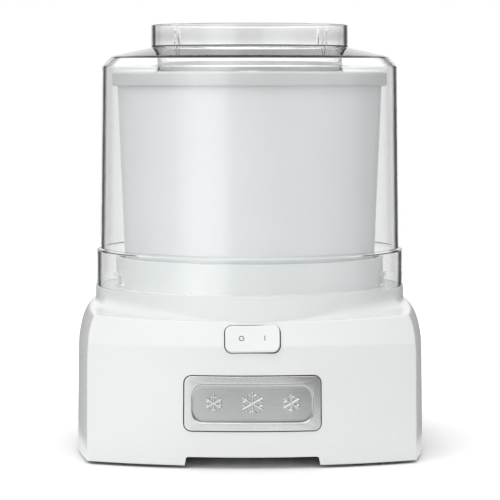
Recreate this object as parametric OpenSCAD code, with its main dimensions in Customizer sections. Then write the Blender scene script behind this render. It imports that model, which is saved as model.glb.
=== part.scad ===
// Countertop ice cream maker: a motor base turns a freezer bowl under a clear lid,
// and the lid holds the mixing paddle still.
// Millimetres, +Z up, front towards -Y, origin on the table under the bowl's axis.

/* [Base housing] */
// Radius of the front and back faces in plan
face_r = 261.6; // [258:0.2:266]
// Distance from the bowl's axis to the front and back faces, at the skirt
face_d = 115.8; // [114.5:0.1:116.5]
// Radius of the side faces in plan
side_r = 424; // [418:1:430]
// Distance from the bowl's axis to the side faces, at the skirt
side_d = 117.3; // [116.5:0.1:118]
// Height of the housing's lower edge above the table
skirt_z = 2; // [1.5:0.1:2.5]
// Height of the edge between the front face and the sloped band
edge_z = 78; // [77.5:0.1:78.5]
// Height of the deck over the bowl's axis
deck_z = 99.5; // [99.3:0.1:99.7]
// Wall thickness of the mouldings in the base
wall = 2.6; // [2.4:0.1:2.8]
// Width of the finger notch in the front skirt
notch_w = 86; // [70:1:100]

/* [Collar and well] */
// Outer radius of the collar that the lid stands on
collar_r = 104.4; // [103.8:0.1:104.6]
// Height of the collar's ledge
ledge_z = 109.4; // [109:0.1:110]
// Outer radius of the well wall
well_r = 91.1; // [90.6:0.1:91.5]
// Height of the well wall's top
well_top_z = 129.4; // [128:0.1:131]

/* [Lid] */
// Height of the whole machine
total_h = 285.75; // [284:0.25:287]
// Outer radius of the spout collar
spout_r = 66.8; // [66:0.1:67.5]
// Thickness of the lid's wall
lid_t = 2.2; // [2:0.1:2.4]

/* [Freezer bowl] */
// Outer radius of the rim ring
rim_r = 93.3; // [92.8:0.1:93.6]
// Height of the rim ring's top
rim_top_z = 253.9; // [253.5:0.1:254.1]
// Outer radius of the bowl just under the rim ring
bowl_top_r = 89.8; // [89.6:0.1:90]
// Outer radius of the bowl near its foot
bowl_foot_r = 84.2; // [83.8:0.1:84.6]
// Inner radius of the liner at the top
liner_top_r = 75.6; // [75.4:0.1:75.8]
// Inner radius of the liner near its floor
liner_foot_r = 71.2; // [71:0.1:71.6]

/* [Nameplate and switch] */
// Width of the nameplate
plate_w = 88; // [80:1:92]
// Height of the nameplate
plate_h = 35; // [32:0.5:36]
// Width of the rocker
rocker_w = 35; // [34:0.5:35.5]
// Height of the rocker up the band
rocker_h = 18; // [17.5:0.1:18.2]
// Tilt of the rocker each way from level
rocker_tilt = 2.5; // [2:0.5:3]

/* [Gear train] */
// Thinning of each tooth flank, for backlash
flank_relief = 0.09; // [0.07:0.01:0.12]

/* [Hidden] */
$fn = 96;
wide_fn = 360;          // facets of the large faces

white = "#f4f5f4";
steel = "#b9bcbe";
bronze = "#a9814a";
black = "#26272a";
acetal = "#ece9df";

// Base housing
face_axis = face_r - face_d;
side_axis = side_r - side_d;
face_lean = 2.8;        // how far the front face leans back between skirt and edge
side_lean = 0.9;        // the same on the side faces, up to the shoulder
band_top_z = 93.5;
band_run = 8;           // how far the band runs back
shoulder_z = 68;        // where the side shoulder starts to curve in
shoulder_w = 12;
shoulder_h = 32;
crown_r = 921;          // crown of the deck, along Y
form_top_z = 118;
band_rise = band_top_z - edge_z;
band_tilt = atan2(band_rise, band_run);
notch_h = 5.6;
cover_z = 8.5;          // underside of the bottom cover
cover_t = 3;
cover_gap = 0.3;
well_floor_z = 99;      // top of the well's floor
well_floor_t = 3;
seal_r = 9;
splash_ring_r = 26.5;
post_r = 4.5;
post_bore_r = 1.6;
posts = [[88, 78], [-88, 78], [88, -78], [-88, -78]];
feet = [[-80, -56], [80, -56], [-80, 56], [80, 56]];
lug_z = 117;            // underside of the well wall's lid lugs
lug_angles = [-18, 18, 162, 198];
inlet_z = 25.5;
inlet_bore_r = 3.6;
inlet_neck_r = 8;

// Nameplate and switch
plate_z = 42;
plate_proud = 0.75;
plate_sink = 0.8;
switch_at = [0, -110.2, 83.4];
rocker_pivot = -1;      // depth of the rocker's pivot under the band
rocker_play = 0.5;
rocker_proud = 0.5;     // how far the rocker's middle stands out of the band

// Gear train: teeth and module of each gear, and the direction of each mesh
out_teeth = 48;
second_pinion_teeth = 16;
second_wheel_teeth = 45;
first_pinion_teeth = 12;
first_wheel_teeth = 48;
motor_pinion_teeth = 12;
out_m = 1.5;
mid_m = 1.25;
fast_m = 1;
pressure_angle = 20;
spindle_r = 5;
pin_r = 2.5;
shaft_r = 3;
running_gap = 0.05;
to_second = 90;
to_first = -25;
to_motor = -30;
second_at = polar((out_teeth + second_pinion_teeth) * out_m / 2, to_second);
first_at = second_at + polar((second_wheel_teeth + first_pinion_teeth) * mid_m / 2, to_first);
motor_at = first_at + polar((first_wheel_teeth + motor_pinion_teeth) * fast_m / 2, to_motor);
second_phase = mesh_phase(to_second, out_teeth, 0, second_pinion_teeth);
first_phase = mesh_phase(to_first, second_wheel_teeth, 0, first_pinion_teeth);
motor_phase = mesh_phase(to_motor, first_wheel_teeth, 0, motor_pinion_teeth);
case_z = 55;            // underside of the gearbox case's floor
case_floor_t = 3;
case_top_z = 85;
case_wall = 2.5;
gearbox_cover_t = 3;
boss_z = 90;            // underside of the bosses that carry the gearbox
case_rounds = [[[0, 0], 41], [second_at, 33], [first_at, 29], [motor_at, 12.5]];
mount_ears = [[-44, -14], [37, -27], [-27.5, 74], [30, 72]];
closing_ears = [[-35, 29], [0, -46], motor_at + [16, 0]];
ear_t = 4;
mount_hole_r = 1.9;
mount_screw_r = 1.7;

// Motor
stack_z = 27;
stack_h = 18;
rotor_r = 12.6;
through_x = 24;         // the through screws, either side of the shaft
pad_x = 14;             // the motor's mounting screws
coil_y = 44;            // the middle of the coil's leg

// ---- Shared functions and modules ----

function polar(r, angle) = [r * cos(angle), r * sin(angle)];

function arc(centre, r, from, to, steps) =
    [for (i = [0:steps]) centre + polar(r, from + (to - from) * i / steps)];

// Radius of a straight tapered wall at height z
function taper(z, z0, r0, z1, r1) = r0 + (r1 - r0) * (z - z0) / (z1 - z0);

// Involute angle in degrees at radius r on base radius rb
function involute(r, rb) = sqrt(pow(r / rb, 2) - 1) * 180 / PI - acos(rb / r);

// Turn that a gear needs, so that its teeth meet those of the gear at that direction from it
function mesh_phase(direction, teeth_a, phase_a, teeth_b) =
    direction + 180
    - (0.5 - (direction - phase_a) * teeth_a / 360) * 360 / teeth_b;

function tooth_radii(root, base, tip) =
    root < base
    ? [root, base + 0.01, (base + tip) / 2, tip]
    : [root, (root + tip) / 2, tip];

function gear_outline(teeth, m, addendum, dedendum) =
    let (
        pitch = teeth * m / 2,
        base = pitch * cos(pressure_angle),
        radii = tooth_radii(pitch - dedendum * m, base, pitch + addendum * m),
        half_pitch = 90 / teeth - flank_relief / pitch * 180 / PI + involute(pitch, base),
        halves = [for (r = radii) half_pitch - involute(max(r, base + 0.001), base)],
        last = len(radii) - 1
    )
    [for (k = [0:teeth - 1], side = [-1, 1], i = [0:last])
        let (j = side < 0 ? i : last - i)
        polar(radii[j], 360 * k / teeth + side * halves[j])];

module gear_2d(teeth, m, addendum = 0.75, dedendum = 1.1) {
    polygon(gear_outline(teeth, m, addendum, dedendum));
}

module pinion_2d(teeth, m) {
    gear_2d(teeth, m, 0.9, 1.1);
}

module at_xy(point, z = 0) {
    translate([point[0], point[1], z]) children();
}

module tube(outer, inner, h) {
    difference() {
        cylinder(r = outer, h = h);
        translate([0, 0, -1]) cylinder(r = inner, h = h + 2);
    }
}

module rounded_rect(w, h, r) {
    square([w - 2 * r, h], center = true);
    square([w, h - 2 * r], center = true);
    for (x = [-1, 1], y = [-1, 1]) {
        translate([x * (w / 2 - r), y * (h / 2 - r)]) circle(r = r);
    }
}

// Disc whose rim is one barrel face of the base: lean up to a corner height, then the given end
module barrel(radii_and_heights) {
    last = len(radii_and_heights) - 1;
    rotate_extrude($fn = wide_fn) polygon(concat(
        [[0, radii_and_heights[0][1]]],
        radii_and_heights,
        [[0, radii_and_heights[last][1]]]
    ));
}

module front_barrel(inset, z_low) {
    lean_r = face_r - inset - face_lean;
    translate([0, face_axis, 0]) barrel([
        [taper(z_low, skirt_z, face_r - inset, edge_z, lean_r), z_low],
        [lean_r, edge_z],
        [lean_r - band_run * (form_top_z - edge_z) / band_rise, form_top_z]
    ]);
}

module side_barrel(inset, z_low) {
    lean_r = side_r - inset - side_lean;
    shoulder = [for (i = [1:9])
        [lean_r - shoulder_w * (1 - cos(10 * i)), shoulder_z + shoulder_h * sin(10 * i)]];
    translate([-side_axis, 0, 0]) barrel(concat(
        [
            [taper(z_low, skirt_z, side_r - inset, shoulder_z, lean_r), z_low],
            [lean_r, shoulder_z]
        ],
        shoulder
    ));
}

// Outer form of the base, set in by inset on every face
module base_form(inset, z_low) {
    intersection() {
        front_barrel(inset, z_low);
        mirror([0, 1, 0]) front_barrel(inset, z_low);
        side_barrel(inset, z_low);
        mirror([1, 0, 0]) side_barrel(inset, z_low);
        translate([-150, 0, deck_z - crown_r]) rotate([0, 90, 0])
            cylinder(r = crown_r - inset, h = 300, $fn = wide_fn * 2);
    }
}

// Frame of the sloped band: X along the band, Y up it, Z out of it
module on_band() {
    translate(switch_at) rotate([band_tilt, 0, 0]) children();
}

// Prism that stands out of the front face, drawn in X and Z
module front_prism(z, depth = 60) {
    translate([0, 60 - face_d, z]) rotate([90, 0, 0]) linear_extrude(depth + 20) children();
}

// ---- Lid and paddle ----

module lid() {
    wall_top_r = 100.3;
    wall_foot_r = 102;
    step_z = 135;
    rim_centre = [spout_r - 1.25, total_h - 1.25];
    corner = [93.9, 257.6];
    profile = concat(
        arc(rim_centre, 1.25, 180, 0, 6),
        [[spout_r, 271.2], [spout_r + 1.2, 270]],
        arc(corner, 6.6, 82, 8, 5),
        [
            [wall_foot_r, step_z],
            [collar_r, step_z - 2],
            [collar_r, ledge_z + 0.3],
            [collar_r - lid_t, ledge_z + 0.3],
            [collar_r - lid_t, step_z - 3.2],
            [wall_foot_r - lid_t, step_z - 1.4],
            [wall_top_r - lid_t, 256.8],
            [corner[0] - 0.8, 262],
            [63.2, 267.9],
            [63.2, 254.8],
            [60.8, 254.8],
            [60.8, 271.4],
            [spout_r - 2.5, 273.2]
        ]
    );
    color("#dfe6e8", 0.35) {
        difference() {
            rotate_extrude($fn = 180) polygon(profile);
            for (turn = [0, 180]) {
                rotate(turn) translate([55, -4, 250]) cube([9, 8, 12.5]);
            }
        }
        for (turn = [45, 135, 225, 315]) {
            rotate(turn) spout_gusset();
        }
        for (turn = [-34, 34, 146, 214]) {
            rotate(turn) translate([94.5, -5, 112]) cube([8.5, 10, 4]);
        }
    }
}

module spout_gusset() {
    rotate([90, 0, 0]) translate([0, 0, -1]) linear_extrude(2)
        polygon([[57.8, 271], [60.9, 267.5], [62, 272], [65, 273.2], [65, 282]]);
}

module mixing_paddle() {
    floor_gap = 0.7;
    foot_z = 121 + floor_gap;
    wall_gap = 0.9;
    color(white) {
        difference() {
            translate([0, 0, 240]) tube(60.2, 57, 21);
            for (turn = [90, 270]) {
                rotate(turn) translate([50, -7, 246]) cube([14, 14, 9]);
            }
        }
        for (turn = [0, 180]) {
            rotate(turn) translate([57.5, -3.6, 252]) cube([6, 7.2, 9]);
        }
        // Blade along the liner's wall, its window, and the inner blade, joined by the foot bar
        difference() {
            translate([0, 1.6, 0]) rotate([90, 0, 0]) linear_extrude(3.2) difference() {
                polygon([
                    [-50, foot_z + 1],
                    [62, foot_z + 1],
                    [70, foot_z + 9],
                    [taper(236, 128, liner_foot_r, 247, liner_top_r) - wall_gap, 236],
                    [66, 240],
                    [60, 246],
                    [57.2, 246],
                    [56, 226],
                    [50, 146],
                    [-14, 138],
                    [-22, 146],
                    [-46, 214],
                    [-57.2, 246],
                    [-60, 246],
                    [-60, 238],
                    [-40, 146]
                ]);
                for (z = [156, 186, 216]) {
                    translate([62, z + (z > 200 ? 2 : 0)]) circle(r = 4.2);
                }
            }
            translate([-30, -3, foot_z - 1]) cube([40, 6, 6]);
        }
        // Scrapers that stand across the blades
        translate([66, 0, foot_z + 12]) rotate(-35) translate([-1.5, -6, 0]) cube([3, 12, 92]);
        translate([-34, 0, foot_z + 3]) rotate(35) translate([-1.5, -6, 0]) cube([3, 12, 44]);
    }
}

// ---- Freezer bowl ----

bowl_z = 104.3;         // underside of the bowl
bowl_t = 2.6;
shell_top_z = 247;
liner_floor_z = 121;
liner_t = 1.2;
socket_top_z = 113.8;

// Outline of the drive dog, grown by gap
module dog_2d(gap) {
    circle(r = 11 + gap);
    for (turn = [0, 120, 240]) {
        rotate(turn) translate([0, -3.5 - gap]) square([17 + gap, 7 + 2 * gap]);
    }
}

module bowl_outer_shell() {
    inner_foot = bowl_foot_r - bowl_t;
    color(white) difference() {
        rotate_extrude($fn = 180) polygon(concat(
            [[0, bowl_z]],
            arc([bowl_foot_r - 6, bowl_z + 6], 6, -90, 0, 4),
            [
                [bowl_top_r, shell_top_z],
                [bowl_top_r - bowl_t, shell_top_z]
            ],
            arc([inner_foot - 4, bowl_z + bowl_t + 4], 4, 0, -90, 3),
            [
                [22, bowl_z + bowl_t],
                [22, socket_top_z + bowl_t],
                [0, socket_top_z + bowl_t]
            ]
        ));
        translate([0, 0, bowl_z - 1]) linear_extrude(socket_top_z - bowl_z + 1) dog_2d(0.4);
    }
}

module bowl_liner() {
    color("#c9cdcf") rotate_extrude($fn = 180) polygon(concat(
        [[0, liner_floor_z - liner_t], [liner_foot_r - 7, liner_floor_z - liner_t]],
        arc([liner_foot_r - 7, liner_floor_z + 7], 7 + liner_t, -90, 0, 5),
        [
            [liner_top_r + liner_t, 246],
            [84, 246],
            [84, 247.2],
            [liner_top_r, 247.2]
        ],
        arc([liner_foot_r - 7, liner_floor_z + 7], 7, 0, -90, 5),
        [[0, liner_floor_z]]
    ));
}

module bowl_rim_ring() {
    fillet = 1.5;
    low_z = rim_top_z - 9.6;
    color("#c3c6c8") rotate_extrude($fn = 180) polygon(concat(
        [[76, 247.3]],
        arc([76 + fillet, rim_top_z - fillet], fillet, 180, 90, 3),
        arc([rim_r - fillet, rim_top_z - fillet], fillet, 90, 0, 3),
        arc([rim_r - fillet, low_z + fillet], fillet, 0, -90, 3),
        [[90.2, low_z], [90.2, 247.3]]
    ));
}

module bowl_rim_seal() {
    color("#8e9396") rotate_extrude($fn = 180)
        polygon([[84.2, 245.9], [87, 245.9], [87, 247.2], [84.2, 247.2]]);
}

module bowl_coolant() {
    gap = 0.1;
    inner_foot = bowl_foot_r - bowl_t - gap;
    fill_z = 238;
    color("#7fc4dc", 0.8) rotate_extrude($fn = 180) polygon(concat(
        [[0, socket_top_z + bowl_t + gap], [22 + gap, socket_top_z + bowl_t + gap]],
        [[22 + gap, bowl_z + bowl_t + gap]],
        arc([inner_foot - 4, bowl_z + bowl_t + gap + 4], 4, -90, 0, 3),
        [
            [taper(fill_z, bowl_z + 6, inner_foot, shell_top_z, bowl_top_r - bowl_t - gap), fill_z],
            [taper(fill_z, 128, liner_foot_r, 247.2, liner_top_r) + liner_t + 2 * gap, fill_z]
        ],
        arc([liner_foot_r - 7, liner_floor_z + 7], 7 + liner_t + gap, 0, -90, 5),
        [[0, liner_floor_z - liner_t - gap]]
    ));
}

// ---- Turntable: what turns with the bowl ----

dog_top_z = 112.5;
hub_z = 100;

module drive_hub() {
    color("#d9dcdd") difference() {
        union() {
            translate([0, 0, 102.2]) cylinder(r = 36, h = 1.8);
            translate([0, 0, hub_z]) tube(31, 29, 3);
            translate([0, 0, hub_z]) cylinder(r = 14, h = 3);
            translate([0, 0, 103.9]) linear_extrude(dog_top_z - 103.9) dog_2d(0);
        }
        translate([0, 0, hub_z - 1]) cylinder(r = spindle_r, h = 9);
        translate([0, 0, hub_z]) cylinder(r = 2.1, h = 20);
        translate([0, 0, 109.5]) cylinder(r = 4.4, h = 5);
    }
}

module hub_screw() {
    color(steel) difference() {
        union() {
            translate([0, 0, 97]) cylinder(r = 1.8, h = 12.6);
            translate([0, 0, 109.5]) cylinder(r = 3.9, h = 2.4);
        }
        translate([0, 0, 110.6]) cylinder(r = 2, h = 3, $fn = 6);
    }
}

module drive_spindle() {
    color(steel) difference() {
        translate([0, 0, 51]) cylinder(r = spindle_r, h = 57);
        translate([0, 0, 96]) cylinder(r = 1.8, h = 13);
        translate([0, 0, 93.3]) tube(spindle_r + 1, spindle_r - 0.4, 1);
    }
}

module spindle_circlip() {
    color("#6f7376") translate([0, 0, 93.35]) difference() {
        tube(7.2, spindle_r - 0.4, 0.9);
        translate([0, -1.6, -1]) cube([10, 3.2, 3]);
    }
}

module thrust_washer() {
    color(bronze) translate([0, 0, 59.1]) tube(9, spindle_r, 0.7);
}

module output_gear() {
    color(acetal) difference() {
        union() {
            translate([0, 0, 60.2]) linear_extrude(7.3) gear_2d(out_teeth, out_m);
            translate([0, 0, 59.8]) cylinder(r = 9.5, h = 11.2);
        }
        translate([0, 0, 59]) cylinder(r = spindle_r, h = 13);
        translate([0, 0, 65]) tube(30, 13, 4);
        for (turn = [0:60:300]) {
            rotate(turn) translate([21.5, 0, 59]) cylinder(r = 5, h = 8);
        }
    }
}

// ---- Housing ----

module housing() {
    color(white) difference() {
        union() {
            base_form(0, skirt_z);
            translate([0, 0, 90]) cylinder(r = collar_r, h = ledge_z - 90, $fn = 180);
            translate([0, 0, 90]) cylinder(r = well_r, h = well_top_z - 90, $fn = 180);
            for (turn = lug_angles) {
                rotate(turn) translate([well_r - 1, -2.2, lug_z]) cube([7, 4.4, 7.5]);
            }
        }
        difference() {
            union() {
                base_form(wall, -1);
                translate([0, 0, 88]) cylinder(r = collar_r - wall, h = ledge_z - wall - 88);
            }
            translate([0, 0, well_floor_z - well_floor_t]) cylinder(r = well_r, h = 60);
            for (p = posts) {
                at_xy(p, cover_z + cover_t) cylinder(r = post_r, h = 90);
            }
            for (p = mount_ears) {
                at_xy(p, boss_z) cylinder(r = 4.8, h = 20);
            }
            translate([0, 106, inlet_z]) rotate([-90, 0, 0]) cylinder(r = 13, h = 20);
        }
        difference() {
            translate([0, 0, well_floor_z]) cylinder(r = well_r - wall, h = 60, $fn = 180);
            translate([0, 0, well_floor_z - 1]) tube(splash_ring_r, splash_ring_r - 2.5, 3.6);
        }
        translate([0, 0, 90]) cylinder(r = seal_r, h = 20);
        for (p = posts) {
            at_xy(p, cover_z) cylinder(r = post_bore_r, h = 22);
        }
        for (p = mount_ears) {
            at_xy(p, boss_z - 1) cylinder(r = mount_screw_r, h = 8);
        }
        nameplate_pocket();
        switch_opening();
        finger_notch();
        translate([0, 100, inlet_z]) rotate([-90, 0, 0]) cylinder(r = inlet_neck_r, h = 30);
        translate([0, 113, inlet_z]) rotate([-90, 0, 0]) cylinder(r = 11, h = 10);
    }
}

module nameplate_pocket() {
    difference() {
        front_prism(plate_z) rounded_rect(plate_w + 0.6, plate_h + 0.6, 4.8);
        front_barrel(plate_sink, -5);
    }
}

module switch_opening() {
    on_band() translate([0, 0, -8]) linear_extrude(30)
        rounded_rect(rocker_w + 1.4, rocker_h + 2 * rocker_play, 5);
}

module finger_notch() {
    front_prism(0) polygon([
        [-notch_w / 2 - 1, -1],
        [notch_w / 2 + 1, -1],
        [notch_w / 2 - 0.5, skirt_z + notch_h],
        [-notch_w / 2 + 0.5, skirt_z + notch_h]
    ]);
}

module bottom_cover() {
    color("#e4e5e5") difference() {
        intersection() {
            base_form(wall + cover_gap, 5);
            translate([-150, -150, cover_z]) cube([300, 300, cover_t]);
        }
        for (p = posts) {
            at_xy(p, cover_z - 1) cylinder(r = 1.9, h = 6);
        }
        for (p = feet) {
            at_xy(p, cover_z - 1) cylinder(r = 3, h = 6);
        }
        for (i = [-4:4]) {
            at_xy(motor_at + [7 * i, 0], cover_z - 1) translate([-1.6, -22, 0]) cube([3.2, 44, 6]);
            at_xy([7 * i - 50, 0], cover_z - 1) translate([-1.6, -22, 0]) cube([3.2, 44, 6]);
        }
    }
}

module rubber_foot(p) {
    color("#3a3b3d") at_xy(p) {
        rotate_extrude() polygon([
            [0, 0],
            [8, 0],
            [9, 1],
            [9.5, cover_z],
            [3, cover_z],
            [3, cover_z + cover_t],
            [4.2, cover_z + cover_t],
            [2.6, cover_z + cover_t + 3],
            [0, cover_z + cover_t + 3]
        ]);
    }
}

module rubber_foot_front_left() { rubber_foot(feet[0]); }
module rubber_foot_front_right() { rubber_foot(feet[1]); }
module rubber_foot_back_left() { rubber_foot(feet[2]); }
module rubber_foot_back_right() { rubber_foot(feet[3]); }

module nameplate() {
    color("#b4b6b8") difference() {
        intersection() {
            front_prism(plate_z) rounded_rect(plate_w, plate_h, 4.5);
            front_barrel(-plate_proud, -5);
        }
        front_barrel(plate_sink - 0.05, -6);
        difference() {
            front_prism(plate_z) rounded_rect(plate_w - 9, plate_h - 9.4, 8);
            front_barrel(plate_proud - 0.9, -7);
        }
    }
}

module cord_inlet_bush() {
    color(black) translate([0, 0, inlet_z]) rotate([-90, 0, 0]) difference() {
        union() {
            translate([0, 0, 103]) cylinder(r = inlet_neck_r, h = 11);
            translate([0, 0, 113]) cylinder(r = 10.7, h = 2.3);
            translate([0, 0, 103]) cylinder(r = 9.4, h = 3);
        }
        translate([0, 0, 100]) cylinder(r = inlet_bore_r, h = 20);
    }
}

// ---- Switch ----

module switch_rocker() {
    half = rocker_w / 2;
    rise = half * tan(rocker_tilt);
    color(white) on_band() translate([0, 0, rocker_pivot]) rotate([0, -rocker_tilt, 0])
        translate([0, 0, -rocker_pivot]) {
            intersection() {
                translate([0, 0, -1.6]) linear_extrude(8) rounded_rect(rocker_w, rocker_h, 4.5);
                rotate([90, 0, 0]) translate([0, 0, -20]) linear_extrude(40) polygon([
                    [-half - 1, -1.6],
                    [half + 1, -1.6],
                    [half + 1, rocker_proud + rise],
                    [0, rocker_proud],
                    [-half - 1, rocker_proud + rise]
                ]);
            }
            translate([-13, -7, -3.4]) cube([26, 14, 2.4]);
        }
}

module switch_body() {
    color(black) intersection() {
        on_band() difference() {
            translate([0, 0, -24]) linear_extrude(21) square([41, 18.6], center = true);
            translate([0, 0, -7]) linear_extrude(6) square([37, 15.8], center = true);
        }
        base_form(wall + 0.2, 40);
    }
}

module switch_terminals() {
    color(bronze) on_band() {
        for (x = [-8, 8]) {
            translate([x - 3.15, -0.4, -32]) cube([6.3, 0.8, 8]);
        }
    }
}

// ---- Spindle seal and bushes ----

module spindle_seal() {
    color(black) translate([0, 0, 95.5]) tube(seal_r, spindle_r + running_gap, 4);
}

module spindle_upper_bush() {
    color(bronze) difference() {
        union() {
            translate([0, 0, 84]) cylinder(r = 8, h = 9);
            translate([0, 0, 83]) cylinder(r = 10, h = 2);
        }
        translate([0, 0, 80]) cylinder(r = spindle_r + running_gap, h = 20);
    }
}

module spindle_lower_bush() {
    color(bronze) difference() {
        union() {
            translate([0, 0, 50]) cylinder(r = 8, h = 8);
            translate([0, 0, 58]) cylinder(r = 10, h = 1);
        }
        translate([0, 0, 48]) cylinder(r = spindle_r + running_gap, h = 20);
    }
}

// ---- Gearbox ----

module case_outline(inset) {
    for (round = case_rounds) {
        translate(round[0]) circle(r = round[1] - inset);
    }
}

module ears(points, r, z, h) {
    for (p = points) {
        at_xy(p, z) cylinder(r = r, h = h);
    }
}

module gearbox_case() {
    color("#55585b") difference() {
        union() {
            translate([0, 0, case_z]) linear_extrude(case_top_z - case_z) case_outline(0);
            at_xy(motor_at, case_z) cylinder(r = 31, h = case_floor_t);
            for (x = [-pad_x, pad_x]) {
                at_xy(motor_at + [x, 0], case_z - 3) cylinder(r = 4, h = 4);
            }
            translate([0, 0, 49]) cylinder(r = 11.5, h = 7);
            ears(mount_ears, 7, case_top_z - ear_t, ear_t);
            ears(closing_ears, 6, case_top_z - ear_t, ear_t);
        }
        translate([0, 0, case_z + case_floor_t]) linear_extrude(40) case_outline(case_wall);
        translate([0, 0, 40]) cylinder(r = 8, h = 30);
        for (p = [first_at, second_at]) {
            at_xy(p, case_z + 0.5) cylinder(r = pin_r, h = 10);
        }
        at_xy(motor_at, 50) cylinder(r = 4.5, h = 20);
        for (x = [-pad_x, pad_x]) {
            at_xy(motor_at + [x, 0], 50) cylinder(r = 1.4, h = 7);
        }
        ears(mount_ears, mount_hole_r, 70, 30);
        ears(closing_ears, 1.4, 70, 30);
    }
}

module gearbox_cover() {
    color("#5f6265") difference() {
        union() {
            translate([0, 0, case_top_z]) linear_extrude(gearbox_cover_t) case_outline(0);
            translate([0, 0, case_top_z]) cylinder(r = 11.5, h = 7.5);
            ears(mount_ears, 7, case_top_z, gearbox_cover_t);
            ears(closing_ears, 6, case_top_z, gearbox_cover_t);
        }
        translate([0, 0, 70]) cylinder(r = 8, h = 30);
        for (p = [first_at, second_at]) {
            at_xy(p, case_top_z - 1) cylinder(r = pin_r, h = 3.5);
        }
        ears(mount_ears, mount_hole_r, 80, 20);
        ears(closing_ears, 1.6, 80, 20);
    }
}

module gear_pin(p) {
    color(steel) at_xy(p, case_z + 0.5) cylinder(r = pin_r, h = 32);
}

module first_gear_pin() { gear_pin(first_at); }
module second_gear_pin() { gear_pin(second_at); }

module second_gear() {
    color(acetal) at_xy(second_at) difference() {
        union() {
            translate([0, 0, 59.5]) rotate(second_phase) linear_extrude(10.2)
                pinion_2d(second_pinion_teeth, out_m);
            translate([0, 0, 69.6]) linear_extrude(5.6) gear_2d(second_wheel_teeth, mid_m);
            translate([0, 0, 58.3]) cylinder(r = 5.2, h = 26.4);
        }
        translate([0, 0, 50]) cylinder(r = pin_r + running_gap, h = 40);
        translate([0, 0, 73.2]) tube(22.5, 8.5, 4);
        for (turn = [0:60:300]) {
            rotate(turn) translate([17.6, 0, 68]) cylinder(r = 3.2, h = 8);
        }
    }
}

module first_gear() {
    color(acetal) at_xy(first_at) difference() {
        union() {
            translate([0, 0, 69.2]) rotate(first_phase) linear_extrude(8)
                pinion_2d(first_pinion_teeth, mid_m);
            translate([0, 0, 77]) linear_extrude(5) gear_2d(first_wheel_teeth, fast_m);
            translate([0, 0, 58.3]) cylinder(r = 4.6, h = 26.4);
        }
        translate([0, 0, 50]) cylinder(r = pin_r + running_gap, h = 40);
        translate([0, 0, 80.4]) tube(19.5, 8, 4);
    }
}

// ---- Motor, drawn about its shaft ----

module motor_laminations() {
    color("#7a7d80") at_xy(motor_at, stack_z) difference() {
        translate([-30, -20, 0]) cube([60, 70, stack_h]);
        translate([0, 0, -1]) cylinder(r = rotor_r + 0.5, h = 30);
        translate([-20, 20, -1]) cube([40, 18, 30]);
        for (x = [-through_x, through_x]) {
            translate([x, 0, -1]) cylinder(r = 2, h = 30);
        }
    }
}

module coil_bobbin() {
    color("#e6e2d2") at_xy(motor_at + [0, coil_y], stack_z + stack_h / 2) difference() {
        union() {
            for (x = [-18, 16]) {
                translate([x, -15, -17]) cube([2, 30, 34]);
            }
            translate([-18, -7.8, -10.8]) cube([36, 15.6, 21.6]);
        }
        translate([-20, -6.1, -9.1]) cube([40, 12.2, 18.2]);
    }
}

module motor_coil() {
    color("#b26a3c") at_xy(motor_at + [0, coil_y], stack_z + stack_h / 2)
        rotate([90, 0, 90]) translate([0, 0, -15.8]) linear_extrude(31.6) difference() {
            rounded_rect(28, 32, 5);
            square([15.8, 21.8], center = true);
        }
}

module motor_bracket(cup_low) {
    difference() {
        union() {
            translate([-29, -8, 0]) cube([58, 16, 2]);
            for (x = [-through_x, through_x]) {
                translate([x, 0, 0]) cylinder(r = 4, h = 7);
            }
            translate([0, 0, cup_low]) cylinder(r = 9, h = 6);
        }
        translate([0, 0, -10]) cylinder(r = 6.5, h = 30);
        for (x = [-through_x, through_x]) {
            translate([x, 0, -1]) cylinder(r = 2, h = 10);
        }
        for (x = [-pad_x, pad_x]) {
            translate([x, 0, -1]) cylinder(r = 1.7, h = 10);
        }
    }
}

module motor_lower_bracket() {
    color("#a9acae") at_xy(motor_at, stack_z - 7) motor_bracket(-1.5);
}

module motor_upper_bracket() {
    color("#a9acae") at_xy(motor_at, stack_z + stack_h + 7) mirror([0, 0, 1]) motor_bracket(-1.5);
}

module motor_bearing(z) {
    color(bronze) at_xy(motor_at, z) tube(6.5, shaft_r + running_gap, 5);
}

module motor_lower_bearing() { motor_bearing(18.8); }
module motor_upper_bearing() { motor_bearing(48.2); }

module rotor() {
    color("#8d9093") at_xy(motor_at) {
        translate([0, 0, stack_z]) tube(rotor_r, shaft_r, stack_h);
        translate([0, 0, stack_z - 2]) tube(rotor_r - 1.2, shaft_r + 3, 2);
        translate([0, 0, stack_z + stack_h]) tube(rotor_r - 1.2, shaft_r + 3, 2);
    }
}

module motor_shaft() {
    color(steel) at_xy(motor_at, 12.6) cylinder(r = shaft_r, h = 70.6);
}

module motor_fan() {
    color("#3f4245") at_xy(motor_at, 12.8) difference() {
        union() {
            cylinder(r = 19, h = 1);
            cylinder(r = 5.5, h = 4.6);
            for (turn = [0:45:315]) {
                rotate(turn) translate([5, -0.5, 0]) cube([13.6, 1, 4.6]);
            }
        }
        translate([0, 0, -1]) cylinder(r = shaft_r, h = 10);
    }
}

module motor_pinion() {
    color(bronze) at_xy(motor_at, 76) difference() {
        rotate(motor_phase) linear_extrude(6.8) pinion_2d(motor_pinion_teeth, fast_m);
        translate([0, 0, -1]) cylinder(r = shaft_r, h = 10);
    }
}

// ---- Wiring ----

block_at = [-28, 84, cover_z + cover_t];

module terminal_block() {
    color("#d8d5c6") translate(block_at) difference() {
        translate([-13, -8, 0]) cube([26, 16, 11]);
        for (x = [-6, 6]) {
            translate([x, 0, 4]) cylinder(r = 2.4, h = 10);
            translate([x, 10, 6]) rotate([90, 0, 0]) cylinder(r = 1.9, h = 8);
        }
    }
}

function unit(v) = v / norm(v);

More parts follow.
